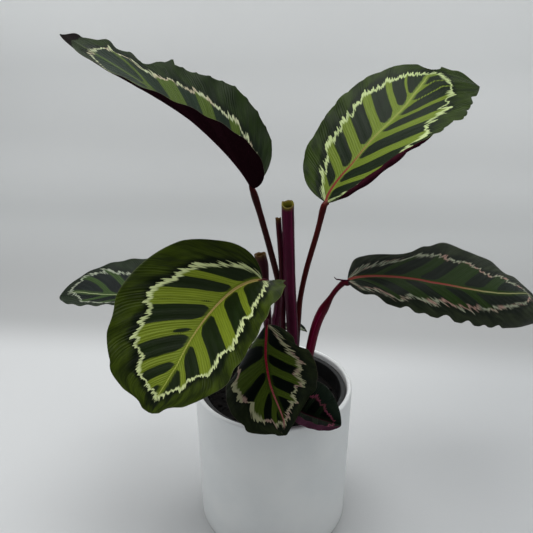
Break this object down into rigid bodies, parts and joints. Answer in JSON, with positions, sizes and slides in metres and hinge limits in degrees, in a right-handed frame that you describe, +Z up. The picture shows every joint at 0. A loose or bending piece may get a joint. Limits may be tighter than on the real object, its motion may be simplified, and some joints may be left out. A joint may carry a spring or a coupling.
{
  "type": "potted calathea",
  "caption": "Young calathea with striped oval leaves on thin stalks, rooted in a plastic nursery pot that stands in a plain round white cover pot.",
  "frame": {"origin": "centre of the cover pot's flat base", "axes": "+Z up along the pot's axis; -Y towards the side that the picture shows; +X to the picture's right"},
  "size_m": [0.4181, 0.21, 0.4052],
  "materials": {
    "pot_ceramic": "satin white glaze",
    "nursery_plastic": "thin moulded plastic",
    "potting_soil": "matte, damp and crumbly",
    "rootstock": "rough brown skin with root scars",
    "leaf_blade": "satin green with pale stripes and a cream band, purple underneath",
    "leaf_stalk": "maroon skin, paler sheath edges",
    "cut_stalk": "purple skin, dried brown at the cut"
  },
  "bodies": {
    "root": {"cover_pot": "pot_ceramic", "nursery_pot": "nursery_plastic", "soil": "potting_soil", "rhizome": "rootstock", "leaf_upper_left": "leaf_blade", "leaf_upper_right": "leaf_blade", "leaf_front_left": "leaf_blade", "leaf_right": "leaf_blade", "leaf_back_left": "leaf_blade", "leaf_front_small": "leaf_blade", "leaf_low_right": "leaf_blade", "leaf_back_small": "leaf_blade", "stem_upper_left": "leaf_stalk", "stem_upper_right": "leaf_stalk", "stem_front_left": "leaf_stalk", "stem_right": "leaf_stalk", "stem_back_left": "leaf_stalk", "stem_front_small": "leaf_stalk", "stem_low_right": "leaf_stalk", "stem_back_small": "leaf_stalk", "cut_stem_tall": "cut_stalk", "cut_stem_thin": "cut_stalk", "cut_stem_short": "cut_stalk"}
  },
  "joints": []
}
